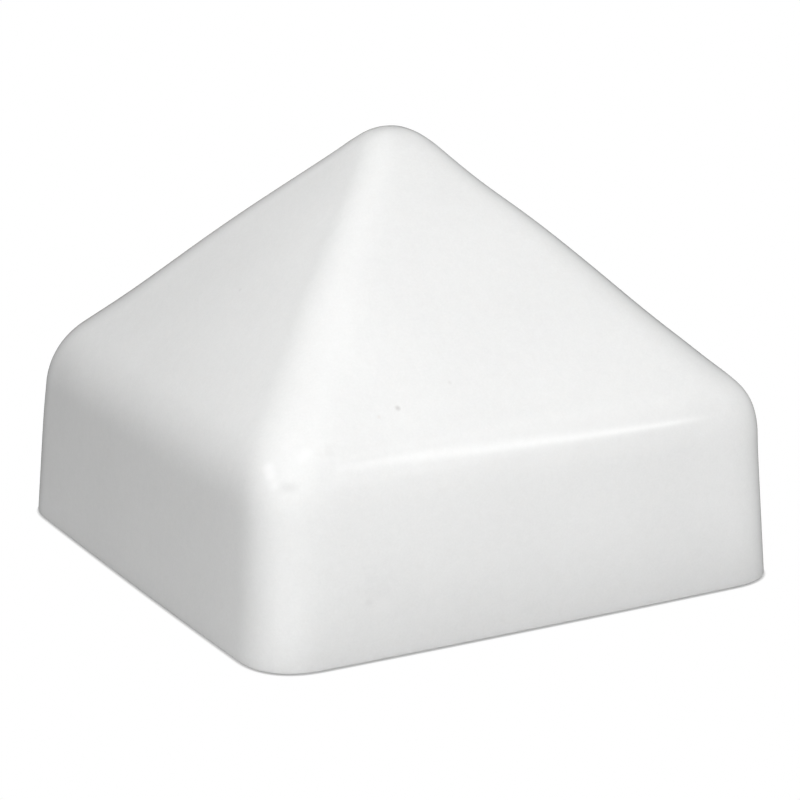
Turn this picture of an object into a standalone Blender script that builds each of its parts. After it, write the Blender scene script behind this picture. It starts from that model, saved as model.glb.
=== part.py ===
"""Pyramid post cap for a square timber fence post.

One moulded plastic shell drops over the post top. Four foam strips bonded
inside its skirt grip the post, and four foam discs bonded under moulded
bosses carry the cap on the post's end grain.

Metres, +Z up, origin at the centre of the rim plane. Right is +X, back is +Y.
"""
import math

import bmesh
import bpy
from mathutils import Matrix

# Shell. Half widths are measured where a face meets its rounded corners.
WALL = 0.0030            # moulded wall thickness
GAP = 0.0003             # bond line between a pad and the shell
RIM_HALF = 0.0513        # half width of the rim
EAVE_HALF = 0.04935      # half width where the skirt and roof planes meet
EAVE_Z = 0.0320          # height where the skirt and roof planes meet
PEAK_Z = 0.0805          # height where the four roof planes meet
EAVE_R = 0.0172          # rounding of the skirt into the roof
PEAK_R = 0.0107          # rounding of the peak
SKIRT_LEAN = math.atan2(RIM_HALF - EAVE_HALF, EAVE_Z)    # inwards from plumb
ROOF_SLOPE = math.atan2(PEAK_Z - EAVE_Z, EAVE_HALF)      # up from level

# Corners, in plan
RIM_CORNER_R = 0.0114    # corner radius at the rim
EAVE_CORNER_R = 0.0115   # corner radius at the eave
HIP_LOW_R = 0.0119       # corner radius the hips start from
HIP_TOP_R = 0.0058       # corner radius near the peak
HIP_FROM = 0.15          # share of the roof below which a hip keeps its radius
HIP_BLEND = 0.25         # share of the roof over which eave corner turns to hip
HIP_INSET_CUT = 0.36     # share of the inset that hip radii don't lose
CORNER_MAX_SHARE = 0.999  # largest corner radius, as a share of the half width
CORNER_POWER = 2.45      # corners ease into the faces: 2 would be a true arc

# Swelling of the faces. Bow and crown are for a straight part of half width
# RIM_HALF, and shrink in proportion with it.
SKIRT_BOW = 0.00038      # outward bow across a skirt face
ROOF_CROWN = 0.00118     # outward crown across a roof face
ROOF_CAMBER = 0.00060    # outward swell of a roof face midway from eave to peak
CAMBER_LOW_Z = EAVE_Z + 0.4 * EAVE_R
CAMBER_HIGH_Z = PEAK_Z - 0.5 * PEAK_R

# Seats
SEAT_Z = 0.0300          # height of the post's end grain inside the cap
SEAT_PAD_T = 0.0017      # foam disc thickness
SEAT_PAD_R = 0.0065
BOSS_POS = 0.0300        # bosses stand at (+-BOSS_POS, +-BOSS_POS)
BOSS_R = 0.0068
BOSS_LOW_Z = SEAT_Z + SEAT_PAD_T + GAP
BOSS_BORE_R = 0.0040
BOSS_BORE_TOP = 0.0390
GUSSET_T = 0.0024
GUSSET_RISE = 0.0015     # gussets stop this far above the boss ends
GUSSET_START = 0.5       # share of the boss radius at which a gusset starts
OVERRUN = 0.0040         # how far helper solids run on past the cap's outline

# Grip strips
GRIP_W = 0.0400          # foam strip along the skirt
GRIP_LOW_Z = 0.0060
GRIP_TOP_Z = 0.0240
GRIP_SPACING = 0.0892    # clear distance between opposite strips
GRIP_EDGE = 0.0006       # rounding of the strip's edges
GRIP_EDGE_STEPS = 2
GRIP_EDGE_ANGLE = math.radians(40)

# Mesh density
CORNER_STEPS = 8         # segments round a corner
SIDE_STEPS = 6           # segments along a face
SKIRT_STEPS = 3
EAVE_STEPS = 6
ROOF_STEPS = 6
PEAK_STEPS = 5
DISC_SEGMENTS = 28       # bosses and seat pads
BORE_SEGMENTS = 20
SHARP_ANGLE = math.radians(32)

# corner name: (side along x, side along y)
CORNERS = {
    "back_right": (1, 1),
    "back_left": (-1, 1),
    "front_left": (-1, -1),
    "front_right": (1, -1),
}


# ------------------------------------------------------------ scene helpers
def clear_scene():
    for obj in list(bpy.data.objects):
        bpy.data.objects.remove(obj, do_unlink=True)
    for collection in list(bpy.data.collections):
        bpy.data.collections.remove(collection)


def new_collection(name):
    collection = bpy.data.collections.new(name)
    bpy.context.scene.collection.children.link(collection)
    return collection


def material(name, colour, roughness):
    mat = bpy.data.materials.new(name)
    mat.use_nodes = True
    shader = mat.node_tree.nodes["Principled BSDF"]
    shader.inputs["Base Color"].default_value = (*colour, 1.0)
    shader.inputs["Roughness"].default_value = roughness
    mat.diffuse_color = (*colour, 1.0)
    return mat


def mesh_object(name, bm, collection):
    mesh = bpy.data.meshes.new(name)
    bmesh.ops.recalc_face_normals(bm, faces=bm.faces)
    bm.to_mesh(mesh)
    bm.free()
    obj = bpy.data.objects.new(name, mesh)
    collection.objects.link(obj)
    return obj


def add_part(name, bm, mat):
    part = mesh_object(name, bm, parts)
    part.data.materials.append(mat)
    part.data.shade_smooth()
    part.data.set_sharp_from_angle(angle=SHARP_ANGLE)
    return part


def add_cutter(name, bm):
    cutter = mesh_object(name, bm, cutters)
    cutter.hide_render = True
    cutter.display_type = "WIRE"
    return cutter


def subtract(obj, cutter):
    cut = obj.modifiers.new("difference_" + cutter.name, "BOOLEAN")
    cut.operation = "DIFFERENCE"
    cut.object = cutter
    cut.solver = "EXACT"


def add_cylinder(bm, x, y, low, high, radius, segments):
    made = bmesh.ops.create_cone(
        bm, cap_ends=True, cap_tris=False, segments=segments,
        radius1=radius, radius2=radius, depth=high - low)
    bmesh.ops.translate(bm, verts=made["verts"], vec=(x, y, (low + high) / 2))


# ------------------------------------------------------------ shell outline
def smoothstep(k):
    k = min(1.0, max(0.0, k))
    return k * k * (3 - 2 * k)


def camber(z):
    """Outward swell of the roof at height z, fading out at eave and peak."""
    k = (z - CAMBER_LOW_Z) / (CAMBER_HIGH_Z - CAMBER_LOW_Z)
    k = min(1.0, max(0.0, k))
    return ROOF_CAMBER * math.sin(math.pi * k) ** 2


def skirt_half(z, inset):
    """Half width of the skirt at height z, moved in square to its face."""
    return RIM_HALF - z * math.tan(SKIRT_LEAN) - inset / math.cos(SKIRT_LEAN)


def straight(start, end, steps):
    """Evenly spaced points from start up to, but not including, end."""
    return [(start[0] + (end[0] - start[0]) * i / steps,
             start[1] + (end[1] - start[1]) * i / steps)
            for i in range(steps)]


def arc(centre, radius, first, last, steps):
    """Points on an arc between two angles, both ends included."""
    angles = [first + (last - first) * i / steps for i in range(steps + 1)]
    return [(centre[0] + radius * math.cos(angle),
             centre[1] + radius * math.sin(angle)) for angle in angles]


def cap_profile(inset):
    """Outline of the cap, rim to peak, moved inwards by inset.

    Returns a list of (half width, height). Two arcs round the eave and the
    peak, tangent to the straight skirt and roof. The camber is added last.
    """
    # a face's normal in this outline, as an angle up from level
    skirt_normal = SKIRT_LEAN
    roof_normal = math.pi / 2 - ROOF_SLOPE

    # eave arc: step down the skirt to the tangent point, then square to it
    tangent = EAVE_R * math.tan((roof_normal - skirt_normal) / 2)
    across, up = math.cos(SKIRT_LEAN), math.sin(SKIRT_LEAN)
    eave_centre = (EAVE_HALF + up * tangent - across * EAVE_R,
                   EAVE_Z - across * tangent - up * EAVE_R)
    eave = arc(eave_centre, EAVE_R - inset, skirt_normal, roof_normal, EAVE_STEPS)

    peak_centre = (0.0, PEAK_Z - PEAK_R / math.cos(ROOF_SLOPE))
    peak = arc(peak_centre, PEAK_R - inset, roof_normal, math.pi / 2, PEAK_STEPS)

    # an inset outline cuts the hollow, so it runs out below the rim
    rim_z = 0.0 if inset == 0.0 else -OVERRUN
    rim = (skirt_half(rim_z, inset), rim_z)

    points = straight(rim, eave[0], SKIRT_STEPS) + eave
    points += straight(eave[-1], peak[0], ROOF_STEPS)[1:] + peak
    return [(half + camber(z), z) for half, z in points]


def corner_and_bow(z, inset):
    """Corner radius and face bow of the section at height z."""
    if z <= EAVE_Z:
        k = max(z, 0.0) / EAVE_Z
        radius = RIM_CORNER_R + (EAVE_CORNER_R - RIM_CORNER_R) * k
        return radius - inset, SKIRT_BOW
    k = (z - EAVE_Z) / (PEAK_Z - EAVE_Z)
    blend = smoothstep(k / HIP_BLEND)
    hip = HIP_LOW_R + (HIP_TOP_R - HIP_LOW_R) * smoothstep(
        (k - HIP_FROM) / (1 - HIP_FROM))
    radius = EAVE_CORNER_R + (hip - EAVE_CORNER_R) * blend
    radius -= inset * (1.0 - HIP_INSET_CUT * blend)
    return radius, SKIRT_BOW + (ROOF_CROWN - SKIRT_BOW) * blend


def section(half, z, inset):
    """Rounded square of the given half width whose faces bow out slightly."""
    radius, bow = corner_and_bow(z, inset)
    radius = min(radius, half * CORNER_MAX_SHARE)
    flat = half - radius
    bulge = bow * flat / RIM_HALF
    power = 2 / CORNER_POWER

    # the back right corner, then the back face from right to left
    quarter = []
    for i in range(CORNER_STEPS + 1):
        angle = math.pi / 2 * i / CORNER_STEPS
        quarter.append((flat + radius * math.cos(angle) ** power,
                        flat + radius * math.sin(angle) ** power))
    for i in range(1, SIDE_STEPS):
        along = 1 - 2 * i / SIDE_STEPS
        quarter.append((flat * along, half + bulge * (1 - along * along)))

    points = []
    for i in range(4):
        cos, sin = math.cos(i * math.pi / 2), math.sin(i * math.pi / 2)
        points += [(x * cos - y * sin, x * sin + y * cos, z) for x, y in quarter]
    return points


# -------------------------------------------------------------- piece forms
def cap_form(inset):
    """Closed solid through the cap's sections, flat at the bottom."""
    bm = bmesh.new()
    profile = cap_profile(inset)
    rings = [[bm.verts.new(point) for point in section(half, z, inset)]
             for half, z in profile[:-1]]
    top = bm.verts.new((0.0, 0.0, profile[-1][1]))
    bm.faces.new(list(reversed(rings[0])))
    count = len(rings[0])
    for low, high in zip(rings, rings[1:]):
        for i in range(count):
            j = (i + 1) % count
            bm.faces.new((low[i], low[j], high[j], high[i]))
    for i in range(count):
        bm.faces.new((rings[-1][i], rings[-1][(i + 1) % count], top))
    return bm


def corner_cylinders(low, high, radius, segments):
    """One upright cylinder at each boss position."""
    bm = bmesh.new()
    for side_x, side_y in CORNERS.values():
        add_cylinder(bm, side_x * BOSS_POS, side_y * BOSS_POS,
                     low, high, radius, segments)
    return bm


def gusset_forms():
    """Upright plates on the diagonals, from each boss out to its corner."""
    bm = bmesh.new()
    low = BOSS_LOW_Z + GUSSET_RISE
    near = BOSS_POS + BOSS_R * GUSSET_START / math.sqrt(2)
    far = EAVE_HALF + OVERRUN
    middle = (near + far) / 2
    size = ((far - near) * math.sqrt(2), GUSSET_T, PEAK_Z - low)
    for side_x, side_y in CORNERS.values():
        verts = bmesh.ops.create_cube(bm, size=1.0)["verts"]
        bmesh.ops.scale(bm, verts=verts, vec=size)
        bmesh.ops.rotate(bm, verts=verts, cent=(0, 0, 0),
                         matrix=Matrix.Rotation(math.atan2(side_y, side_x), 3, "Z"))
        bmesh.ops.translate(bm, verts=verts, vec=(
            side_x * middle, side_y * middle, (low + PEAK_Z) / 2))
    return bm


def inner_face(z):
    """Distance from the axis to the inside of the skirt at height z, at a
    strip's ends, where the bowed wall is nearest."""
    flat = RIM_HALF - RIM_CORNER_R
    bow = SKIRT_BOW * (flat / RIM_HALF) * (1 - (GRIP_W / 2 / flat) ** 2)
    return skirt_half(z, WALL) + bow


def grip_form():
    """Back strip: a wedge that turns the skirt's draft into a plumb face."""
    bm = bmesh.new()
    for vert in bmesh.ops.create_cube(bm, size=1.0)["verts"]:
        z = GRIP_TOP_Z if vert.co.z > 0 else GRIP_LOW_Z
        y = GRIP_SPACING / 2 if vert.co.y < 0 else inner_face(z) - GAP
        vert.co = (GRIP_W * vert.co.x, y, z)
    return bm


# -------------------------------------------------------------------- build
def build_shell(plastic):
    """Outer form, hollowed by a smaller copy of itself."""
    shell = add_part("cap_shell", cap_form(0.0), plastic)
    cavity = add_cutter("cavity", cap_form(WALL))

    # bosses and corner gussets are left standing in the hollow
    bosses = corner_cylinders(BOSS_LOW_Z, PEAK_Z, BOSS_R, DISC_SEGMENTS)
    subtract(cavity, add_cutter("boss_form", bosses))
    subtract(cavity, add_cutter("gusset_form", gusset_forms()))
    subtract(shell, cavity)

    # each boss is cored out from below
    bores = corner_cylinders(SEAT_Z - OVERRUN, BOSS_BORE_TOP,
                             BOSS_BORE_R, BORE_SEGMENTS)
    subtract(shell, add_cutter("boss_bores", bores))


def build_seat_pads(foam):
    """Foam discs under the bosses."""
    for place, (side_x, side_y) in CORNERS.items():
        bm = bmesh.new()
        add_cylinder(bm, 0, 0, -SEAT_PAD_T / 2, SEAT_PAD_T / 2,
                     SEAT_PAD_R, DISC_SEGMENTS)
        pad = add_part("seat_pad_" + place, bm, foam)
        pad.location = (side_x * BOSS_POS, side_y * BOSS_POS,
                        SEAT_Z + SEAT_PAD_T / 2)


def build_grip_pads(foam):
    """Foam strips inside the skirt, one to a side."""
    for place, turn in (("back", 0), ("left", 90), ("front", 180), ("right", 270)):
        strip = add_part("grip_pad_" + place, grip_form(), foam)
        strip.rotation_euler = (0, 0, math.radians(turn))
        edge = strip.modifiers.new("cut_edge", "BEVEL")
        edge.width = GRIP_EDGE
        edge.segments = GRIP_EDGE_STEPS
        edge.limit_method = "ANGLE"
        edge.angle_limit = GRIP_EDGE_ANGLE


clear_scene()
parts = new_collection("fence_post_cap")
cutters = new_collection("cutters")
white_plastic = material("white_moulded_plastic",
                         colour=(0.83, 0.84, 0.84), roughness=0.38)
dark_foam = material("closed_cell_foam",
                     colour=(0.055, 0.057, 0.060), roughness=0.85)
build_shell(white_plastic)
build_seat_pads(dark_foam)
build_grip_pads(dark_foam)
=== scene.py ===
"""Looks of the fence post cap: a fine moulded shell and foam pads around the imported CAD.

The cap is a square hood with a pyramid roof. Its axis is z, its open rim lies at z = 0
and its peak points up. Front is -y, right is +x. Sizes are in metres.
"""
import math
from types import SimpleNamespace

import bmesh
import bpy
from mathutils import Matrix, Vector, noise


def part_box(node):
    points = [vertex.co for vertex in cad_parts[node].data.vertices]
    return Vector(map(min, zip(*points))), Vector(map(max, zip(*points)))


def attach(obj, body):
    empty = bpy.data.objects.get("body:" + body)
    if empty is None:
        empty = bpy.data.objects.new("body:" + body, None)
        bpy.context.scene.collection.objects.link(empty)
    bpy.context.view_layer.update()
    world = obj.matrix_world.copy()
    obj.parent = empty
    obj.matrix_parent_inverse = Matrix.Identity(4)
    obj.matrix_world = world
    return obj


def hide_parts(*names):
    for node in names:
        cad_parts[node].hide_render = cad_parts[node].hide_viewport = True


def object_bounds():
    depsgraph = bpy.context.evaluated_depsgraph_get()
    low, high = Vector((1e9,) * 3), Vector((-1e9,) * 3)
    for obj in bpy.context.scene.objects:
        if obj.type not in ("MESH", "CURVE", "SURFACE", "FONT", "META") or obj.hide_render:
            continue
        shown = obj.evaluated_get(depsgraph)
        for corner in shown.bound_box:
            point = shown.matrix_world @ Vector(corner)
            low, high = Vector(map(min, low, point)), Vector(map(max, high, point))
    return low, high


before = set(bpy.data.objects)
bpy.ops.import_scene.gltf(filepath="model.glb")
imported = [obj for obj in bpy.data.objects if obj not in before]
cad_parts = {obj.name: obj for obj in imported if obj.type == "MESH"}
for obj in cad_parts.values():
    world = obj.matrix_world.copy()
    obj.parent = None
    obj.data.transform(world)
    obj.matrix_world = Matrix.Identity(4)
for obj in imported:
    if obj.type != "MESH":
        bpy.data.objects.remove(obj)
cad_low, cad_high = [Vector(c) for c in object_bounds()]
scene = bpy.context.scene

# ---------------------------------------------------------------- dimensions
# The same driving sizes as the CAD shell. A "half" is a half width.
WALL = 0.0030
RIM_HALF = 0.0513
EAVE_HALF = 0.04935
EAVE_Z = 0.0320
PEAK_Z = 0.0805
EAVE_R = 0.0172          # rounding from skirt to roof, in side view
PEAK_R = 0.0107
RIM_CORNER_R = 0.0114    # corner radii of the square outline, from the rim up
EAVE_CORNER_R = 0.0115
HIP_LOW_R = 0.0119
HIP_TOP_R = 0.0058
HIP_FROM = 0.15          # share of the roof height where the hips start to tighten
HIP_BLEND = 0.25         # share of the roof height over which skirt turns to roof
HIP_INSET_CUT = 0.36     # how much less of the inset the roof's corners lose
MIN_CORNER_R = 0.0012
CORNER_POWER = 2.45      # superellipse power of the corners
SKIRT_BOW = 0.00038      # outward bow of each face in plan
ROOF_CROWN = 0.00118
ROOF_CAMBER = 0.00060    # outward swell of the roof in side view
CAMBER_FROM = EAVE_Z + 0.4 * EAVE_R
CAMBER_TO = PEAK_Z - 0.5 * PEAK_R
RIM_OUT_R = 0.00045      # rounding of the rim's outer edge
RIM_IN_R = 0.00070       # rounding of the rim's inner edge

BOSS_POS = 0.0300        # x and y of each boss axis
BOSS_R = 0.0068
BOSS_FOOT_Z = EAVE_Z
BOSS_FOOT_ROUND = 0.0004
BORE_R = 0.0040
BORE_TOP_Z = 0.0390
BORE_TOP_ROUND = 0.001
GUSSET_T = 0.0024
GUSSET_Z = 0.0335
GUSSET_OVERRUN = 0.004   # how far a gusset passes the eave before it is trimmed
TRIM_LOW_Z = 0.004

CORNER_STEPS = 24
SIDE_STEPS = 30
SKIRT_STEPS = 20
EAVE_STEPS = 24
ROOF_STEPS = 34
PEAK_STEPS = 16
RIM_STEPS = 6
BOSS_SEGMENTS = 48
BOSS_ARC_STEPS = 4

# sign of x, sign of y, name
CORNERS = [(1, 1, "back_right"), (-1, 1, "back_left"),
           (-1, -1, "front_left"), (1, -1, "front_right")]

QUARTER = math.pi / 2

VISUAL = bpy.data.collections.new("looks")
scene.collection.children.link(VISUAL)


# -------------------------------------------------------------- mesh helpers
def between(start, end, share):
    return start + (end - start) * share


def smoothstep(share):
    share = min(1.0, max(0.0, share))
    return share * share * (3 - 2 * share)


def arc(centre, radius, first, turn, steps):
    """Points on a circle, starting at the angle first."""
    points = []
    for i in range(steps + 1):
        angle = first + turn * i / steps
        points.append((centre[0] + radius * math.cos(angle),
                       centre[1] + radius * math.sin(angle)))
    return points


def ring_faces(shape, lower, upper):
    count = len(lower)
    for i in range(count):
        j = (i + 1) % count
        shape.faces.new((lower[i], lower[j], upper[j], upper[i]))


def lathe(shape, profile, x, y, segments):
    """Turned solid about a vertical axis at x, y. The profile (radius, z) runs
    from axis to axis."""
    rings = []
    for radius, z in profile:
        if radius < 1e-9:
            rings.append([shape.verts.new((x, y, z))])
            continue
        ring = []
        for i in range(segments):
            angle = 2 * math.pi * i / segments
            ring.append(shape.verts.new((x + radius * math.cos(angle),
                                         y + radius * math.sin(angle), z)))
        rings.append(ring)
    for first, second in zip(rings, rings[1:]):
        for i in range(segments):
            j = (i + 1) % segments
            if len(first) == 1:
                shape.faces.new((first[0], second[i], second[j]))
            elif len(second) == 1:
                shape.faces.new((first[i], second[0], first[j]))
            else:
                shape.faces.new((first[i], second[i], second[j], first[j]))


def face_outwards(shape):
    bmesh.ops.recalc_face_normals(shape, faces=shape.faces)


def mesh_object(name, shape, material=None, collection=VISUAL):
    mesh = bpy.data.meshes.new(name)
    shape.to_mesh(mesh)
    shape.free()
    obj = bpy.data.objects.new(name, mesh)
    collection.objects.link(obj)
    if material:
        mesh.materials.append(material)
    return obj


def shade(obj, sharp_from):
    """Smooth shading, except at edges sharper than sharp_from degrees."""
    obj.data.shade_smooth()
    obj.data.set_sharp_from_angle(angle=math.radians(sharp_from))


def apply_modifiers(obj):
    deps = bpy.context.evaluated_depsgraph_get()
    mesh = bpy.data.meshes.new_from_object(obj.evaluated_get(deps))
    old = obj.data
    obj.modifiers.clear()
    obj.data = mesh
    bpy.data.meshes.remove(old)


def boolean(obj, operation, other):
    modifier = obj.modifiers.new(operation, "BOOLEAN")
    modifier.operation = operation
    modifier.object = other
    modifier.solver = "EXACT"


# ------------------------------------------------------------- shell surface
def camber(z):
    """Outward swell of the roof at height z, fading out at eave and peak."""
    share = min(1.0, max(0.0, (z - CAMBER_FROM) / (CAMBER_TO - CAMBER_FROM)))
    return ROOF_CAMBER * math.sin(math.pi * share) ** 2


def cap_lines(inset):
    """Construction of the mid-face outline, moved inwards by inset."""
    run = EAVE_HALF - RIM_HALF
    length = math.hypot(run, EAVE_Z)
    skirt = (run / length, EAVE_Z / length)
    slope = math.atan2(PEAK_Z - EAVE_Z, EAVE_HALF)
    roof = (-math.cos(slope), math.sin(slope))
    turn = math.acos(skirt[0] * roof[0] + skirt[1] * roof[1])
    tangent = EAVE_R * math.tan(turn / 2)
    start = (EAVE_HALF - skirt[0] * tangent, EAVE_Z - skirt[1] * tangent)
    return SimpleNamespace(
        lean=-run / EAVE_Z,
        skirt_normal=(skirt[1], -skirt[0]),
        rim_half=RIM_HALF - inset / skirt[1],
        eave_centre=(start[0] - skirt[1] * EAVE_R, start[1] + skirt[0] * EAVE_R),
        eave_turn=turn,
        eave_r=EAVE_R - inset,
        roof_angle=math.pi / 2 - slope,
        peak_z=PEAK_Z - PEAK_R / math.cos(slope),
        peak_r=PEAK_R - inset)


def cap_profile(inset, low_z):
    """(half width, z) from low_z on the skirt up to the peak, and the peak's z."""
    lines = cap_lines(inset)
    normal = lines.skirt_normal
    skirt_top = (lines.eave_centre[0] + normal[0] * lines.eave_r,
                 lines.eave_centre[1] + normal[1] * lines.eave_r)
    low_half = lines.rim_half - lines.lean * low_z
    eave = arc(lines.eave_centre, lines.eave_r, math.atan2(normal[1], normal[0]),
               lines.eave_turn, EAVE_STEPS)
    peak = arc((0.0, lines.peak_z), lines.peak_r, lines.roof_angle,
               math.pi / 2 - lines.roof_angle, PEAK_STEPS)
    points = []
    for i in range(SKIRT_STEPS):
        share = i / SKIRT_STEPS
        points.append((between(low_half, skirt_top[0], share),
                       between(low_z, skirt_top[1], share)))
    points += eave
    for i in range(1, ROOF_STEPS):
        share = i / ROOF_STEPS
        points.append((between(eave[-1][0], peak[0][0], share),
                       between(eave[-1][1], peak[0][1], share)))
    points += peak[:-1]
    points = [(half + camber(z), z) for half, z in points]
    return points, lines.peak_z + lines.peak_r


def skirt_corner(z):
    return between(RIM_CORNER_R, EAVE_CORNER_R, z / EAVE_Z)


def section(half, z, inset, extra=0.0):
    """Rounded square with slightly bowed faces. extra is how far a rim
    rounding has already moved the outline inwards."""
    if z <= EAVE_Z:
        radius = skirt_corner(z)
        bow, tighten = SKIRT_BOW, 1.0
    else:
        rise = (z - EAVE_Z) / (PEAK_Z - EAVE_Z)
        roofness = smoothstep(rise / HIP_BLEND)
        hip = between(HIP_LOW_R, HIP_TOP_R,
                      smoothstep((rise - HIP_FROM) / (1 - HIP_FROM)))
        radius = between(EAVE_CORNER_R, hip, roofness)
        bow = between(SKIRT_BOW, ROOF_CROWN, roofness)
        tighten = 1.0 - HIP_INSET_CUT * roofness
    radius = max(radius - inset * tighten - extra, MIN_CORNER_R)
    radius = min(radius, half * 0.999)
    flat = half - radius
    bulge = bow * flat / RIM_HALF
    power = 2 / CORNER_POWER
    side = []
    for j in range(CORNER_STEPS + 1):
        angle = math.pi / 2 * j / CORNER_STEPS
        side.append((flat + radius * abs(math.cos(angle)) ** power,
                     flat + radius * abs(math.sin(angle)) ** power))
    for j in range(1, SIDE_STEPS):
        along = 1 - 2 * j / SIDE_STEPS
        side.append((flat * along, half + bulge * (1 - along * along)))
    points = []
    for cos, sin in ((1, 0), (0, 1), (-1, 0), (0, -1)):
        for x, y in side:
            points.append((x * cos - y * sin, x * sin + y * cos, z))
    return points


def shell_mesh():
    """Skin from the peak down, round the rim and up the inside. Also returns
    how many vertices, counted from the first, lie outside above the rim."""
    lean = cap_lines(0.0).lean
    outer, outer_top = cap_profile(0.0, RIM_OUT_R)
    inner, inner_top = cap_profile(WALL, RIM_IN_R)
    loops = [section(half, z, 0.0) for half, z in reversed(outer)]
    for i in range(1, RIM_STEPS + 1):
        angle = math.pi / 2 * i / RIM_STEPS
        inwards = RIM_OUT_R * (1 - math.cos(angle))
        z = RIM_OUT_R * (1 - math.sin(angle))
        loops.append(section(RIM_HALF - lean * RIM_OUT_R - inwards, z, 0.0, inwards))
    rim_inner = cap_lines(WALL).rim_half - lean * RIM_IN_R
    for i in range(RIM_STEPS, 0, -1):
        angle = math.pi / 2 * i / RIM_STEPS
        outwards = RIM_IN_R * (1 - math.cos(angle))
        z = RIM_IN_R * (1 - math.sin(angle))
        loops.append(section(rim_inner + outwards, z, WALL, -outwards))
    loops += [section(half, z, WALL) for half, z in inner]

    shape = bmesh.new()
    rings = [[shape.verts.new(point) for point in loop] for loop in loops]
    count = len(rings[0])
    top = shape.verts.new((0, 0, outer_top))
    for i in range(count):
        shape.faces.new((top, rings[0][i], rings[0][(i + 1) % count]))
    for upper, lower in zip(rings, rings[1:]):
        ring_faces(shape, upper, lower)
    under = shape.verts.new((0, 0, inner_top))
    for i in range(count):
        shape.faces.new((under, rings[-1][(i + 1) % count], rings[-1][i]))
    face_outwards(shape)
    return shape, len(outer) * count


def mid_wall_solid():
    """Closed solid out to the middle of the wall, used to trim the bosses."""
    inset = WALL * 0.5
    shape = bmesh.new()
    profile, top_z = cap_profile(inset, TRIM_LOW_Z)
    rings = [[shape.verts.new(point) for point in section(half, z, inset)]
             for half, z in profile]
    shape.faces.new(rings[0])
    for lower, upper in zip(rings, rings[1:]):
        ring_faces(shape, lower, upper)
    top = shape.verts.new((0, 0, top_z))
    count = len(rings[-1])
    for i in range(count):
        shape.faces.new((rings[-1][i], rings[-1][(i + 1) % count], top))
    face_outwards(shape)
    return shape


# ------------------------------------------------------ unevenness of the skin
# noise scale, noise offset, height
WAVES = [(38.0, Vector((3.1, 7.7, 1.3)), 0.000022),
         (95.0, Vector((9.2, 0.4, 5.5)), 0.000006)]

# centre, height, spread
BUMPS = [
    # small flaws round the front left corner of the eave
    ((-0.0445, -0.0467, 0.0307), -0.000060, 0.0014),
    ((-0.0412, -0.0451, 0.0348), 0.000035, 0.0018),
    ((-0.0471, -0.0431, 0.0314), 0.000045, 0.0016),
    ((-0.0367, -0.0457, 0.0353), -0.000020, 0.0016),
    # fuller front right corner, at the eave and just above it
    ((0.0472, -0.0432, 0.0322), 0.00072, 0.0036),
    ((0.0385, -0.0360, 0.0405), 0.00018, 0.0050),
    # fuller peak
    ((-0.0012, 0.0004, 0.0762), 0.00055, 0.0042),
    # slightly hollow front right hip and back left corner
    ((0.0120, -0.0100, 0.0680), -0.00035, 0.0055),
    ((-0.0500, 0.0420, 0.0295), -0.00036, 0.0050)]
BUMP_REACH = 3.5         # a bump is cut off at this many spreads
EVEN_BELOW_Z = 0.0006    # the skin stays even up to here
EVEN_FADE = 0.004


def waviness(point):
    """Unevenness of the moulded face at point, along the normal."""
    total = 0.0
    for scale, offset, height in WAVES:
        total += height * noise.noise(point * scale + offset)
    for centre, height, spread in BUMPS:
        away = (point - Vector(centre)).length / spread
        if away < BUMP_REACH:
            total += height * math.exp(-0.5 * away * away)
    return total


def roughen(shape, outer_count):
    """Lays the unevenness on the outer skin."""
    shape.verts.ensure_lookup_table()
    shape.normal_update()
    apex = len(shape.verts) - 2
    for i, vert in enumerate(shape.verts):
        if (i < outer_count or i == apex) and vert.co.z > EVEN_BELOW_Z:
            fade = smoothstep((vert.co.z - EVEN_BELOW_Z) / EVEN_FADE)
            vert.co += vert.normal * waviness(vert.co) * fade


# -------------------------------------------------------- bosses and gussets
def boss_profile():
    """(radius, z) of a boss with a blind bore in its foot."""
    foot, top = BOSS_FOOT_ROUND, BORE_TOP_ROUND
    points = [(0, PEAK_Z), (BOSS_R, PEAK_Z)]
    points += arc((BOSS_R - foot, BOSS_FOOT_Z + foot), foot, 0, -QUARTER, BOSS_ARC_STEPS)
    points += arc((BORE_R + foot, BOSS_FOOT_Z + foot), foot, -QUARTER, -QUARTER,
                  BOSS_ARC_STEPS)
    points += [(BORE_R, BORE_TOP_Z - top)]
    points += arc((BORE_R - top, BORE_TOP_Z - top), top, 0, QUARTER, BOSS_ARC_STEPS)[1:]
    points += [(0, BORE_TOP_Z)]
    return points


def boss_mesh():
    shape = bmesh.new()
    for side_x, side_y, _ in CORNERS:
        lathe(shape, boss_profile(), side_x * BOSS_POS, side_y * BOSS_POS, BOSS_SEGMENTS)
    face_outwards(shape)
    return shape


def gusset_mesh():
    """Upright webs from inside each boss out through the corner of the wall."""
    shape = bmesh.new()
    near = BOSS_POS + BOSS_R * 0.5 / math.sqrt(2)
    far = EAVE_HALF + GUSSET_OVERRUN
    middle = (near + far) / 2
    for side_x, side_y, _ in CORNERS:
        verts = bmesh.ops.create_cube(shape, size=1.0)["verts"]
        bmesh.ops.scale(shape, verts=verts,
                        vec=((far - near) * math.sqrt(2), GUSSET_T, PEAK_Z - GUSSET_Z))
        bmesh.ops.rotate(shape, verts=verts, cent=(0, 0, 0),
                         matrix=Matrix.Rotation(math.atan2(side_y, side_x), 3, "Z"))
        bmesh.ops.translate(shape, verts=verts,
                            vec=(side_x * middle, side_y * middle, (GUSSET_Z + PEAK_Z) / 2))
    return shape


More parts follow.
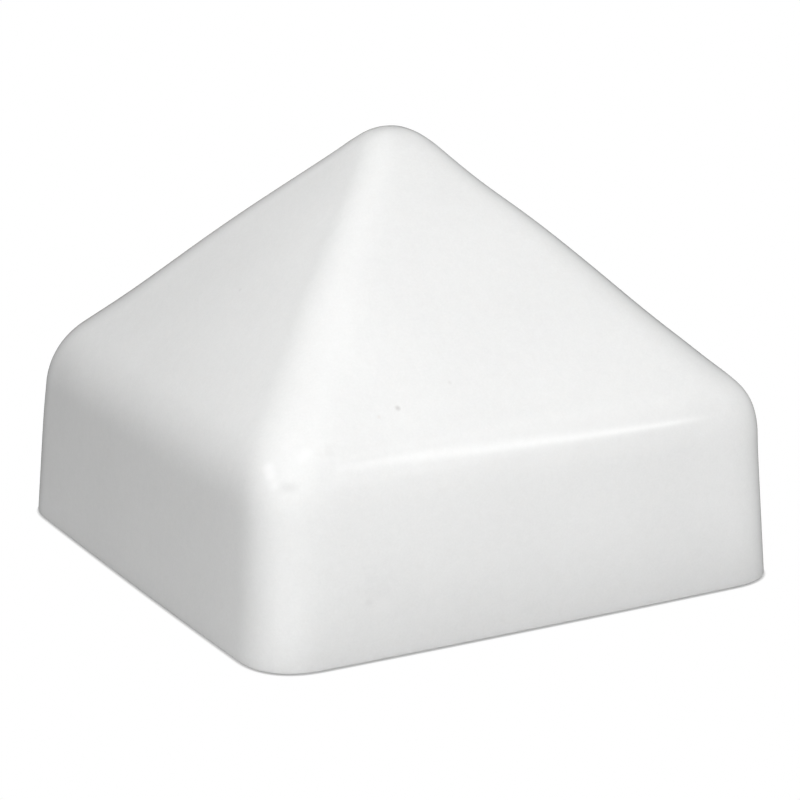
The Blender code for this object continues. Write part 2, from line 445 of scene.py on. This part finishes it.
def build_shell(material):
    skin, outer_count = shell_mesh()
    roughen(skin, outer_count)
    shell = mesh_object("moulded_shell", skin, material)
    posts = mesh_object("tmp_posts", boss_mesh(), material, scene.collection)
    webs = mesh_object("tmp_webs", gusset_mesh(), material, scene.collection)
    trim = mesh_object("tmp_trim", mid_wall_solid(), None, scene.collection)
    boolean(posts, "UNION", webs)
    boolean(posts, "INTERSECT", trim)
    apply_modifiers(posts)
    boolean(shell, "UNION", posts)
    apply_modifiers(shell)
    for helper in (posts, webs, trim):
        bpy.data.objects.remove(helper, do_unlink=True)
    shell.data.name = shell.name
    shade(shell, sharp_from=38)
    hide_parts("cap_shell")
    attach(shell, "root")


# ----------------------------------------------------------- node short hand
NOISE_SPAN = (0.3, 0.7)  # the part of a noise's range that gets spread out


class Nodes:
    """Short hand for building a node tree, which it empties first."""

    def __init__(self, tree):
        self.tree = tree
        tree.nodes.clear()

    def put(self, socket, value):
        if isinstance(value, bpy.types.NodeSocket):
            self.tree.links.new(value, socket)
        else:
            socket.default_value = value

    def feed(self, node, inputs):
        for key, value in inputs.items():
            self.put(node.inputs[key], value)

    def add(self, kind, inputs=None, **settings):
        node = self.tree.nodes.new(kind)
        for name, value in settings.items():
            setattr(node, name, value)
        self.feed(node, inputs or {})
        return node

    def math(self, operation, *values, clamp=False):
        return self.add("ShaderNodeMath", dict(enumerate(values)),
                        operation=operation, use_clamp=clamp).outputs[0]

    def plus(self, first, second, clamp=False):
        return self.math("ADD", first, second, clamp=clamp)

    def minus(self, first, second):
        return self.math("SUBTRACT", first, second)

    def times(self, first, second):
        return self.math("MULTIPLY", first, second)

    def measure(self, operation, first, second):
        """Dot product or distance of two vectors."""
        return self.add("ShaderNodeVectorMath", {0: first, 1: second},
                        operation=operation).outputs["Value"]

    def scaled(self, vector, scale):
        return self.add("ShaderNodeVectorMath", {0: vector, "Scale": scale},
                        operation="SCALE").outputs[0]

    def noise(self, vector, scale, detail, rough):
        return self.add("ShaderNodeTexNoise", {
            "Vector": vector, "Scale": scale,
            "Detail": detail, "Roughness": rough}).outputs["Fac"]

    def cells(self, vector, feature, scale):
        return self.add("ShaderNodeTexVoronoi", {"Vector": vector, "Scale": scale},
                        feature=feature).outputs["Distance"]

    def remap(self, value, span=NOISE_SPAN, to=(0.0, 1.0), smooth=False):
        return self.add("ShaderNodeMapRange", {
            "Value": value, "From Min": span[0], "From Max": span[1],
            "To Min": to[0], "To Max": to[1]},
            interpolation_type="SMOOTHSTEP" if smooth else "LINEAR").outputs["Result"]

    def mix(self, factor, first, second, blend="MIX"):
        return self.add("ShaderNodeMix", {"Factor": factor, 6: first, 7: second},
                        data_type="RGBA", blend_type=blend).outputs[2]

    def bump(self, height, strength, distance, normal=None):
        inputs = {"Strength": strength, "Distance": distance, "Height": height}
        if normal is not None:
            inputs["Normal"] = normal
        return self.add("ShaderNodeBump", inputs).outputs["Normal"]


def new_material(name):
    material = bpy.data.materials.new(name)
    material.use_nodes = True
    net = Nodes(material.node_tree)
    return material, net, net.add("ShaderNodeOutputMaterial")


def new_surface(name):
    material, net, output = new_material(name)
    surface = net.add("ShaderNodeBsdfPrincipled")
    net.put(output.inputs["Surface"], surface.outputs[0])
    return material, net, surface


# ----------------------------------------------------------- moulded plastic
SHELL_COLOUR = (0.842, 0.845, 0.841, 1.0)
WHITE = (1.0, 1.0, 1.0, 1.0)
SHELL_ROUGH = 0.19
SHELL_ROUGH_SWING = 0.015
# painted reflection of the unlit room, seen edge on: where the darkening of the base colour
# starts and ends, and what is left
EDGE_FROM, EDGE_TO, EDGE_DARK = 0.85, 0.97, 0.30

SOOT = (0.32, 0.30, 0.28, 1)
TAN = (0.55, 0.45, 0.38, 1)
BROWN = (0.40, 0.38, 0.36, 1)
GREY_DOT_AND_DENT_SHADE = (0.42, 0.42, 0.42, 1)
WARM_DENT_SHADE = (0.45, 0.44, 0.43, 1)
COOL_GREY = (0.45, 0.46, 0.46, 1)
PALE_PATCH_AND_PAINTED_GLINT = (0.93, 0.93, 0.93, 1)

# centre, radius, strength, tint, softness
MARKS = [((-0.0221, -0.0419, 0.0395), 0.00075, 0.36, SOOT, 1.0),
         ((-0.0260, -0.0426, 0.0388), 0.00055, 0.16, TAN, 1.0),
         ((-0.0111, -0.0399, 0.0418), 0.00055, 0.15, BROWN, 1.0),
         ((-0.0307, -0.0013, 0.0512), 0.00055, 0.15, BROWN, 1.0),
         # painted shade: grey in the small dent at the front left corner of the eave
         ((-0.0453, -0.0461, 0.0308), 0.00160, 0.11, GREY_DOT_AND_DENT_SHADE, 1.0),
         ((-0.0445, -0.0467, 0.0307), 0.00150, 0.09, GREY_DOT_AND_DENT_SHADE, 1.0),
         ((-0.0438, -0.0470, 0.0309), 0.00160, 0.09, GREY_DOT_AND_DENT_SHADE, 1.0),
         # painted highlight: a glint just above the front left corner of the eave
         ((-0.0416, -0.0451, 0.0345), 0.00150, 0.30, PALE_PATCH_AND_PAINTED_GLINT, 1.0),
         ((-0.0405, -0.0448, 0.0353), 0.00160, 0.36, PALE_PATCH_AND_PAINTED_GLINT, 1.0),
         # painted highlight: a crescent of light on the left side of that corner
         ((-0.0462, -0.0424, 0.0331), 0.00170, 0.80, PALE_PATCH_AND_PAINTED_GLINT, 1.0),
         ((-0.0464, -0.0435, 0.0321), 0.00160, 0.80, PALE_PATCH_AND_PAINTED_GLINT, 1.0),
         ((-0.0464, -0.0448, 0.0310), 0.00150, 0.55, PALE_PATCH_AND_PAINTED_GLINT, 1.0),
         # painted shade: warm grey in the shallow dent right of the front left corner
         ((-0.0367, -0.0457, 0.0353), 0.00230, 0.06, WARM_DENT_SHADE, 0.95),
         ((-0.0322, -0.0507, 0.0103), 0.00110, 0.10, GREY_DOT_AND_DENT_SHADE, 1.0),
         ((-0.0300, -0.0508, 0.0090), 0.00260, 0.20, PALE_PATCH_AND_PAINTED_GLINT, 0.95),
         ((-0.0311, -0.0506, 0.0131), 0.00450, 0.04, COOL_GREY, 0.95)]
RAGGED_FROM = 0.002      # marks larger than this get an uneven outline
RAGGED = 0.4             # unevenness as a share of the radius

# Painted reflection of the strip light: a glow in the plastic's emission, seen by
# the camera only. A real lobe this narrow drowns in sampling noise, so it is worked
# out from the mirror direction, as a slightly curved band of directions. These are the band's
# own axes.
STREAK_ACROSS = (0.7041, 0.6684, 0.2396)
STREAK_ALONG = (-0.5073, 0.2375, 0.8284)
STREAK_AHEAD = (0.4968, -0.7048, 0.5063)
STREAK_CURVE = (-0.0195, 0.10, 1.40)     # constant, linear, square term
STREAK_WIDTH = 0.031
STREAK_FADE_IN = (-0.250, -0.120)        # soft ends, measured along the band
STREAK_FADE_OUT = (0.060, 0.175)
STREAK_LEVEL = (0.092, 0.060)            # strength from the first end to the second
STREAK_AHEAD_FADE = (0.1, 0.4)
STREAK_RIGHT_FADE = (0.0260, 0.0385)     # x where it runs out
# painted sheen: a broad, faint halo of glow round the painted strip highlight
HALO_WIDTH, HALO_LEVEL = 0.150, 0.022
HALO_FADE = 0.15                         # length of its soft end
HALO_BEND = dict(span=(-0.12, 0.10), to=(-0.03, 0.10))   # sideways shift along it


def painted_strip_reflection(net, texco):
    mirror = texco.outputs["Reflection"]
    along = net.measure("DOT_PRODUCT", mirror, STREAK_ALONG)
    bend = net.math("MULTIPLY_ADD", along, STREAK_CURVE[2], STREAK_CURVE[1])
    bend = net.math("MULTIPLY_ADD", bend, along, STREAK_CURVE[0])
    across = net.minus(net.measure("DOT_PRODUCT", mirror, STREAK_ACROSS), bend)

    def bell(width, shift=0.0):
        away = net.math("DIVIDE", net.minus(across, shift), width)
        return net.math("EXPONENT", net.times(net.times(away, away), -0.5))

    fade_end = STREAK_FADE_OUT[1]
    level = net.remap(along, span=(STREAK_FADE_IN[1], STREAK_FADE_OUT[0]), to=STREAK_LEVEL)
    glow = net.times(bell(STREAK_WIDTH), level)
    glow = net.times(glow, net.remap(along, span=STREAK_FADE_OUT, to=(1.0, 0.0), smooth=True))
    halo = net.times(bell(HALO_WIDTH, net.remap(along, **HALO_BEND)), HALO_LEVEL)
    halo = net.times(halo, net.remap(along, span=(fade_end, fade_end + HALO_FADE),
                                     to=(1.0, 0.0), smooth=True))
    glow = net.plus(glow, halo)

    place = net.add("ShaderNodeSeparateXYZ", {0: texco.outputs["Object"]})
    outward = net.measure("DOT_PRODUCT", texco.outputs["Normal"], texco.outputs["Object"])
    facing = net.add("ShaderNodeLayerWeight").outputs["Facing"]
    masks = [
        net.remap(along, span=STREAK_FADE_IN, smooth=True),
        net.remap(net.measure("DOT_PRODUCT", mirror, STREAK_AHEAD),
                  span=STREAK_AHEAD_FADE, smooth=True),
        # it runs out before the right-hand corner
        net.remap(place.outputs[0], span=STREAK_RIGHT_FADE, to=(1.0, 0.0), smooth=True),
        # the strip shines on the outside only
        net.remap(outward, span=(0.0, 0.006)),
        # a surface seen square on mirrors the viewer, not the strip
        net.remap(facing, span=(0.01, 0.05)),
        net.add("ShaderNodeLightPath").outputs["Is Camera Ray"]]
    for mask in masks:
        glow = net.times(glow, mask)
    return glow


def add_marks(net, base, pos, mottle):
    """Dark inclusions in the plastic, handling smudges and pale patches, and painted shade
    and painted highlights round the front left corner of the eave.
    """
    for centre, radius, strength, tint, softness in MARKS:
        away = net.measure("DISTANCE", pos, centre)
        if radius > RAGGED_FROM:
            away = net.plus(away, net.remap(mottle, to=(-radius * RAGGED, radius * RAGGED)))
        near = net.remap(away, span=(radius * (1 - softness), radius), to=(1.0, 0.0),
                         smooth=True)
        base = net.mix(net.times(near, strength), base, tint)
    return base


def moulded_plastic():
    material, net, surface = new_surface("white_moulded_plastic")
    texco = net.add("ShaderNodeTexCoord")
    pos = texco.outputs["Object"]

    # soft cloudiness of the pigment and a very fine mottle
    cloud = net.noise(pos, scale=55.0, detail=3.0, rough=0.55)
    mottle = net.noise(pos, scale=620.0, detail=2.0, rough=0.6)
    fine = net.noise(pos, scale=2600.0, detail=2.0, rough=0.7)
    tone = net.plus(net.remap(cloud, to=(-0.012, 0.012)),
                    net.remap(mottle, to=(-0.008, 0.008)))
    tone = net.plus(tone, net.remap(fine, to=(-0.016, 0.016)))
    tone = net.plus(tone, 1.0)
    pigment = net.mix(1.0, SHELL_COLOUR, WHITE, blend="MULTIPLY")
    base = add_marks(net, net.scaled(pigment, tone), pos, mottle)

    # painted reflection: seen edge on, the base colour is darkened where the surface would
    # mirror the unlit room
    facing = net.add("ShaderNodeLayerWeight").outputs["Facing"]
    edge = net.remap(facing, span=(EDGE_FROM, EDGE_TO), to=(1.0, EDGE_DARK))
    base = net.scaled(base, edge)
    rough = net.remap(net.noise(pos, scale=42.0, detail=4.0, rough=0.6),
                      to=(SHELL_ROUGH - SHELL_ROUGH_SWING, SHELL_ROUGH + SHELL_ROUGH_SWING))
    peel = net.noise(pos, scale=520.0, detail=2.0, rough=0.5)
    grain = net.noise(pos, scale=2600.0, detail=1.0, rough=0.5)
    normal = net.bump(peel, strength=0.5, distance=0.000018)
    normal = net.bump(grain, strength=0.5, distance=0.000005, normal=normal)
    net.feed(surface, {
        "Base Color": base,
        "Roughness": rough,
        "IOR": 1.49,
        "Subsurface Weight": 0.12,
        "Subsurface Radius": (1.0, 0.95, 0.9),
        "Subsurface Scale": 0.0012,
        "Normal": normal,
        # painted highlight: the strip light's reflection is added as emission
        "Emission Color": WHITE,
        "Emission Strength": painted_strip_reflection(net, texco)})
    material.cycles.emission_sampling = "NONE"
    return material


# ------------------------------------------------------------- foam and film
FOAM_CELLS = 2300.0      # scale of the cell pattern
FOAM_DARK = (0.040, 0.041, 0.043, 1)
FOAM_LIGHT = (0.070, 0.071, 0.074, 1)
FILM_DARK = (0.62, 0.60, 0.55, 1)
FILM_LIGHT = (0.74, 0.73, 0.69, 1)


def foam_material():
    material, net, surface = new_surface("closed_cell_foam")
    pos = net.add("ShaderNodeTexCoord").outputs["Object"]
    centre = net.cells(pos, feature="F1", scale=FOAM_CELLS)
    wall = net.cells(pos, feature="DISTANCE_TO_EDGE", scale=FOAM_CELLS)
    tone = net.noise(pos, scale=160.0, detail=3.0, rough=0.6)
    # painted shade: the base is darker at the cell centres, where the bump sinks into pits
    painted_pit_shade = net.remap(centre, span=(0.1, 0.6), to=(0.55, 1.0), smooth=True)
    base = net.mix(net.remap(tone), FOAM_DARK, FOAM_LIGHT)
    base = net.scaled(base, painted_pit_shade)
    rough = net.remap(tone, to=(0.78, 0.92))
    height = net.remap(wall, span=(0.0, 0.18), to=(1.0, 0.0), smooth=True)
    net.feed(surface, {
        "Base Color": base,
        "Roughness": rough,
        "Sheen Weight": 0.25,
        "Sheen Roughness": 0.5,
        "Normal": net.bump(height, strength=0.7, distance=0.00008)})
    return material


def film_material():
    material, net, surface = new_surface("adhesive_film")
    pos = net.add("ShaderNodeTexCoord").outputs["Object"]
    fibre = net.noise(pos, scale=900.0, detail=4.0, rough=0.7)
    net.feed(surface, {
        "Base Color": net.mix(net.remap(fibre), FILM_DARK, FILM_LIGHT),
        "Roughness": net.remap(fibre, to=(0.4, 0.6)),
        "Normal": net.bump(fibre, strength=0.3, distance=0.00003)})
    return material


plastic = moulded_plastic()
foam = foam_material()
film = film_material()

build_shell(plastic)

# ---------------------------------------------------------------- foam pads
FILM_T = 0.00012
GAP = 0.00001            # keeps touching faces from coinciding
FILM_MARGIN = 0.0002     # film set back from the edges of a grip pad
GRIP_X_STEPS, GRIP_Z_STEPS, GRIP_DEPTH_STEPS = 40, 18, 6
GRIP_BULGE = 0.00028
GRIP_BULGE_POWER = 24    # high, so only the cut edges move
GRIP_ROUND = 0.00035     # how far the pressed face falls back at its rim
GRIP_ROUND_POWERS = (30, 16)     # along x, along z
SEAT_BULGE = 0.00022
SEAT_EDGE_STEPS = 8
SEAT_SEGMENTS = 64
SEAT_FILM_MARGIN = 0.0003


def dress_pad(pad, film_obj, cad_name):
    for obj in (pad, film_obj):
        shade(obj, sharp_from=50)
    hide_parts(cad_name)
    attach(pad, "root")
    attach(film_obj, "root")


def skirt_inside(x, z):
    """Distance from the axis to the skirt's inner face at x along it."""
    lines = cap_lines(WALL)
    half = lines.rim_half - lines.lean * z
    flat = half - (skirt_corner(z) - WALL)
    return half + SKIRT_BOW * flat / RIM_HALF * (1 - (x / flat) ** 2)


def block_mesh(depth_steps, place_point):
    """Hollow box of quads. place_point turns (-1..1 along x, -1..1 along z,
    0..1 in depth) into a point."""
    last_x, last_z = GRIP_X_STEPS, GRIP_Z_STEPS
    shape = bmesh.new()
    grid = {}
    for i in range(last_x + 1):
        for j in range(last_z + 1):
            for m in range(depth_steps + 1):
                if i in (0, last_x) or j in (0, last_z) or m in (0, depth_steps):
                    point = place_point(i / last_x * 2 - 1, j / last_z * 2 - 1,
                                        m / depth_steps)
                    grid[i, j, m] = shape.verts.new(point)

    def quad(*keys):
        shape.faces.new([grid[key] for key in keys])

    for i in range(last_x):
        for j in range(last_z):
            m = depth_steps
            quad((i, j, 0), (i + 1, j, 0), (i + 1, j + 1, 0), (i, j + 1, 0))
            quad((i, j, m), (i, j + 1, m), (i + 1, j + 1, m), (i + 1, j, m))
    for i in range(last_x):
        for m in range(depth_steps):
            j = last_z
            quad((i, 0, m), (i, 0, m + 1), (i + 1, 0, m + 1), (i + 1, 0, m))
            quad((i, j, m), (i + 1, j, m), (i + 1, j, m + 1), (i, j, m + 1))
    for j in range(last_z):
        for m in range(depth_steps):
            i = last_x
            quad((0, j, m), (0, j + 1, m), (0, j + 1, m + 1), (0, j, m + 1))
            quad((i, j, m), (i, j, m + 1), (i, j + 1, m + 1), (i, j + 1, m))
    face_outwards(shape)
    return shape


def grip_pad(place, turn):
    """Die-cut foam strip: pressed flat against the post, its cut edges
    bulging, on a thin adhesive film that follows the bowed wall. Built on
    the back wall, then turned about z by turn degrees."""
    low, high = [Vector(c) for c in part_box("grip_pad_" + place)]
    half_x = max(high.x - low.x, high.y - low.y) / 2
    half_z = (high.z - low.z) / 2
    mid_z = (low.z + high.z) / 2
    axis = 0 if turn in (90, 270) else 1
    near = min(abs(low[axis]), abs(high[axis]))

    def foam_point(across, rise, depth):
        x = half_x * across
        z = mid_z + half_z * rise
        wall = skirt_inside(x, z) - 2 * GAP
        y = between(near, wall - FILM_T, depth)
        bulge = GRIP_BULGE * math.sin(math.pi * depth)
        x += math.copysign(bulge * abs(across) ** GRIP_BULGE_POWER, across)
        z += math.copysign(bulge * abs(rise) ** GRIP_BULGE_POWER, rise)
        if depth == 0:
            y += GRIP_ROUND * max(abs(across) ** GRIP_ROUND_POWERS[0],
                                  abs(rise) ** GRIP_ROUND_POWERS[1])
        return x, y, z

    def film_point(across, rise, depth):
        x = (half_x - FILM_MARGIN) * across
        z = mid_z + (half_z - FILM_MARGIN) * rise
        return x, skirt_inside(x, z) - FILM_T * (1 - depth) - GAP, z

    pad = mesh_object("foam_grip_" + place, block_mesh(GRIP_DEPTH_STEPS, foam_point), foam)
    film_obj = mesh_object("adhesive_film_" + place, block_mesh(1, film_point), film)
    spin = Matrix.Rotation(math.radians(turn), 4, "Z")
    for obj in (pad, film_obj):
        obj.data.transform(spin)
    dress_pad(pad, film_obj, "grip_pad_" + place)


def seat_pad(place):
    """Punched foam disc with a slightly bulging edge, under a boss."""
    low, high = [Vector(c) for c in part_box("seat_pad_" + place)]
    x, y = (low.x + high.x) / 2, (low.y + high.y) / 2
    radius = (high.x - low.x) / 2
    bottom = low.z
    film_top = BOSS_FOOT_Z - GAP
    foam_top = film_top - FILM_T

    def disc(name, profile, material):
        shape = bmesh.new()
        lathe(shape, profile, x, y, SEAT_SEGMENTS)
        face_outwards(shape)
        return mesh_object(name + place, shape, material)

    profile = [(radius * share, foam_top) for share in (0, 0.5, 0.8, 0.95)]
    for i in range(SEAT_EDGE_STEPS + 1):
        share = i / SEAT_EDGE_STEPS
        profile.append((radius - 0.0001 + SEAT_BULGE * math.sin(math.pi * share),
                        between(foam_top, bottom + 0.0002, share)))
    profile += [(radius - 0.0003, bottom + 0.00004), (radius - 0.0006, bottom)]
    profile += [(radius * share, bottom) for share in (0.8, 0.5, 0)]
    pad = disc("foam_seat_", profile, foam)
    film_r = radius - SEAT_FILM_MARGIN
    film_low = foam_top + GAP
    film_obj = disc("adhesive_disc_", [(0, film_top), (film_r, film_top),
                                       (film_r, film_low), (0, film_low)], film)
    dress_pad(pad, film_obj, "seat_pad_" + place)


for place, turn in (("back", 0), ("left", 90), ("front", 180), ("right", 270)):
    grip_pad(place, turn)
for _, _, place in CORNERS:
    seat_pad(place)


# --------------------------------------------------------------------- floor
FLOOR_R = 4.0
FLOOR_DROP = 0.00002     # below the lowest point of the CAD
FLOOR_BOUNCE = 0.25
FLOOR_BOUNCE_SWING = 0.01
CONTACT = 0.50           # depth of the contact shadow
CONTACT_REACH = 0.0006
CONTACT_SPAN = (0.45, 0.95)
SIDE_FADE = (-0.35, -0.80)       # x or y over distance: where a side's patch sets in
NEAR_FADE = (0.075, 0.100)       # distances where near turns to mid, mid to far
FAR_FADE = (0.140, 0.200)
AXIS_CLEAR = 0.001               # least distance divided by
# light the sweep gives back, by side and by distance from the cap
FLOOR_LIGHT = dict(front_near=0.119, front_mid=0.609, front_far=0.000,
                   left_near=0.047, left_mid=0.000, left_far=0.000, rest=0.000)


def floor_glow(net, pos):
    """Strength of the paper's own glow, patch by patch."""
    place = net.add("ShaderNodeSeparateXYZ", {0: pos})
    x, y = place.outputs[0], place.outputs[1]
    away = net.math("SQRT", net.plus(net.times(x, x), net.times(y, y)))
    safe = net.math("MAXIMUM", away, AXIS_CLEAR)
    side = {name: net.remap(net.math("DIVIDE", coordinate, safe), span=SIDE_FADE, smooth=True)
            for name, coordinate in (("front", y), ("left", x))}
    near = net.remap(away, span=NEAR_FADE, to=(1.0, 0.0), smooth=True)
    far = net.remap(away, span=FAR_FADE, smooth=True)
    band = {"near": near, "far": far, "mid": net.minus(net.minus(1.0, near), far)}
    both = net.plus(side["front"], side["left"], clamp=True)
    total = None
    for name, value in FLOOR_LIGHT.items():
        level = net.add("ShaderNodeValue")
        level.outputs[0].default_value = value
        if name == "rest":
            mask = net.minus(1.0, both)
        else:
            side_name, band_name = name.split("_")
            mask = net.times(side[side_name], band[band_name])
        term = net.times(mask, level.outputs[0])
        total = term if total is None else net.plus(total, term)
    return total


def floor_material():
    """Lit paper sweep. The camera sees white paper with a faint contact
    shadow; the cap is lit by the paper's glow and bounce."""
    material, net, output = new_material("studio_floor")
    material.cycles.emission_sampling = "NONE"
    pos = net.add("ShaderNodeTexCoord").outputs["Object"]
    grain = net.noise(pos, scale=30.0, detail=3.0, rough=0.5)
    bounce = net.remap(grain, to=(FLOOR_BOUNCE - FLOOR_BOUNCE_SWING,
                                  FLOOR_BOUNCE + FLOOR_BOUNCE_SWING))
    grey = net.add("ShaderNodeCombineColor", {i: bounce for i in range(3)})
    diffuse = net.add("ShaderNodeBsdfDiffuse", {"Color": grey.outputs[0]})
    glow = net.add("ShaderNodeEmission", {"Strength": floor_glow(net, pos)})
    lit = net.add("ShaderNodeAddShader", {0: diffuse.outputs[0], 1: glow.outputs[0]})

    contact = net.add("ShaderNodeAmbientOcclusion", {"Distance": CONTACT_REACH}, samples=8)
    paper = net.remap(contact.outputs["AO"], span=CONTACT_SPAN, to=(1.0 - CONTACT, 1.0))
    white = net.add("ShaderNodeEmission", {"Strength": paper})
    path = net.add("ShaderNodeLightPath")
    seen = net.add("ShaderNodeMixShader", {0: path.outputs["Is Camera Ray"],
                                           1: lit.outputs[0], 2: white.outputs[0]})
    net.put(output.inputs["Surface"], seen.outputs[0])
    return material


sweep = bmesh.new()
bmesh.ops.create_circle(sweep, cap_ends=True, radius=FLOOR_R, segments=96)
floor = mesh_object("floor", sweep, floor_material(), scene.collection)
floor.location.z = cad_low.z - FLOOR_DROP

# --------------------------------------------------------------------- world
BACKDROP = 1.0           # what the camera sees
AMBIENT = 0.0000         # room light on the diffuse surface
SHEEN = 0.1198           # room light seen in the surface's gloss


def build_world():
    world = bpy.data.worlds.new("studio")
    world.use_nodes = True
    world.cycles.sampling_method = "NONE"
    scene.world = world
    net = Nodes(world.node_tree)
    output = net.add("ShaderNodeOutputWorld")
    seen, fill, gloss = [
        net.add("ShaderNodeBackground", {"Color": WHITE, "Strength": strength}).outputs[0]
        for strength in (BACKDROP, AMBIENT, SHEEN)]
    path = net.add("ShaderNodeLightPath").outputs
    room = net.add("ShaderNodeMixShader", {0: path["Is Glossy Ray"], 1: fill, 2: gloss})
    whole = net.add("ShaderNodeMixShader", {0: path["Is Camera Ray"],
                                            1: room.outputs[0], 2: seen})
    net.put(output.inputs["Surface"], whole.outputs[0])


build_world()

# -------------------------------------------------------------------- lights
LIGHT_AIM = Vector((0, 0, 0.035))
FAR_BOX = (1.5, 0.45, 0.45)      # distance, width, height
NEAR_BOX = (0.32, 0.2, 0.1)

# name, azimuth, elevation, (distance, width, height), power, roll
# angles in degrees, azimuth from the front towards the right
LIGHTS = [
    ("near_mid_front", -15, 35, NEAR_BOX, 0.4310, 0),
    ("near_mid_front_2", 5, 18, NEAR_BOX, 0.1478, 0),
    ("steep_back", 160, 66, FAR_BOX, 6.7426, 0),
    ("high_front", -35, 46, FAR_BOX, 2.0836, 0),
    ("low_left", -95, 6, FAR_BOX, 5.0427, 0),
    ("high_left", -60, 46, FAR_BOX, 1.7061, 0),
    ("near_steep_left", -75, 60, (0.32, 0.25, 0.2), 0.0720, 0),
    ("mid_left", -60, 26, FAR_BOX, 1.0697, 0),
    ("strip", 35.1, 29.6, (1.018, 0.12, 0.42), 0.4630, 23.2),
    ("mid_front", -40, 26, FAR_BOX, 0.7309, 0),
    ("steep_front", -30, 66, FAR_BOX, 0.5560, 0),
    ("mid_left_2", -115, 26, FAR_BOX, 0.9336, 0),
    ("low_right", 90, 6, FAR_BOX, 5.8013, 0),
    ("low_back", 180.0, 6, FAR_BOX, 2.5000, 0),
    ("high_back", -165, 46, FAR_BOX, 0.4456, 0),
]


def direction(azimuth, elevation):
    """Unit vector from the cap, angles in radians."""
    return Vector((math.sin(azimuth) * math.cos(elevation),
                   -math.cos(azimuth) * math.cos(elevation), math.sin(elevation)))


def softbox(name, azimuth, elevation, box, power, roll):
    """Area light aimed at the cap, hidden from the camera and the gloss."""
    distance, width, height = box
    data = bpy.data.lights.new(name, "AREA")
    data.shape = "RECTANGLE"
    data.size = width
    data.size_y = height
    data.energy = power
    obj = bpy.data.objects.new(name, data)
    scene.collection.objects.link(obj)
    obj.visible_camera = False
    obj.visible_glossy = False
    away = direction(math.radians(azimuth), math.radians(elevation))
    obj.location = LIGHT_AIM + away * distance
    obj.rotation_mode = "QUATERNION"
    obj.rotation_quaternion = (away.to_track_quat("Z", "Y")
                               @ Matrix.Rotation(math.radians(roll), 3, "Z").to_quaternion())


for light in LIGHTS:
    softbox(*light)

# -------------------------------------------------------------------- camera
WIDTH = 2 * RIM_HALF
CAM_AZIMUTH, CAM_ELEVATION, CAM_ROLL = -29.2547, 16.8553, 0.2790     # degrees
CAM_DISTANCE = 5.2357 * WIDTH
CAM_AIM = Vector((0, 0, 0.3 * WIDTH))
CAM_RIGHT, CAM_UP = 0.0152 * WIDTH, -0.0393 * WIDTH     # shift of the aim in view
CAM_LENS = 134.35        # focal length and sensor width in mm
CAM_SENSOR = 36.0


def build_camera():
    data = bpy.data.cameras.new("camera")
    camera = bpy.data.objects.new("camera", data)
    scene.collection.objects.link(camera)
    data.sensor_width = CAM_SENSOR
    data.lens = CAM_LENS
    data.clip_start = 0.01
    data.clip_end = 20.0
    azimuth, elevation, roll = [math.radians(angle) for angle in
                                (CAM_AZIMUTH, CAM_ELEVATION, CAM_ROLL)]
    back = direction(azimuth, elevation)
    right = Vector((math.cos(azimuth), math.sin(azimuth), 0))
    up = back.cross(right)
    target = CAM_AIM + right * CAM_RIGHT + up * CAM_UP
    side = right * math.cos(roll) + up * math.sin(roll)
    top = -right * math.sin(roll) + up * math.cos(roll)
    turn = Matrix((side, top, back)).transposed().to_4x4()
    camera.matrix_world = Matrix.Translation(target + back * CAM_DISTANCE) @ turn
    scene.camera = camera


build_camera()

view = scene.view_settings
view.view_transform = "Standard"
view.look = "None"
view.exposure = 0.0
view.gamma = 1.0
